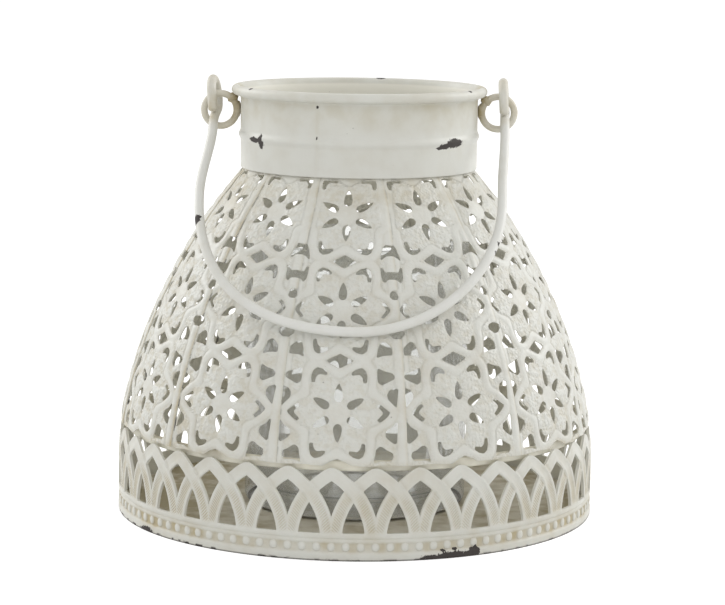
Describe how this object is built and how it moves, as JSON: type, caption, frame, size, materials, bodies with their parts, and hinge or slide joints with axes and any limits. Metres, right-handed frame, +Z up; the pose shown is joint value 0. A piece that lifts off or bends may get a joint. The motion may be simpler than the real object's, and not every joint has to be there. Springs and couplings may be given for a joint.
{
  "type": "hanging lantern",
  "caption": "Domed pierced-metal candle lantern with an arcaded gallery foot, rolled open collar, swinging wire bail and loose glass cylinder.",
  "frame": {"origin": "centre of the foot, on the surface that the lantern stands on", "axes": "+Z up along the lantern's axis; -Y is the front, where the bail hangs; +X to the right as seen from the front, through the right ear ring"},
  "size_m": [0.21, 0.21, 0.191],
  "materials": {
    "cream_paint": "satin cream paint with a warm wash in the recesses and a few dark chips",
    "washed_paint": "cream paint with a heavy beige-brown wash, matt",
    "clear_glass": "clear, smooth"
  },
  "bodies": {
    "lantern": {"collar": "cream_paint", "ear_ring_left": "washed_paint", "ear_ring_right": "washed_paint", "panel_01": "cream_paint", "panel_02": "cream_paint", "panel_03": "cream_paint", "panel_04": "cream_paint", "panel_05": "cream_paint", "panel_06": "cream_paint", "panel_07": "cream_paint", "panel_08": "cream_paint", "panel_09": "cream_paint", "panel_10": "cream_paint", "panel_11": "cream_paint", "panel_12": "cream_paint", "support_hoop": "washed_paint", "gallery_band": "cream_paint", "floor_plate": "washed_paint"},
    "bail": {"bail_handle": "cream_paint"},
    "glass": {"glass_cylinder": "clear_glass"}
  },
  "joints": [
    {"name": "bail_swing", "type": "hinge", "parent": "lantern", "child": "bail", "pos_m": [0, 0, 0.18233], "axis": [-1, 0, 0], "range_deg": [0, 269]},
    {"name": "glass_lift", "type": "slide", "parent": "lantern", "child": "glass", "axis": [0, 0, 1], "range_m": [0, 0.19]}
  ]
}
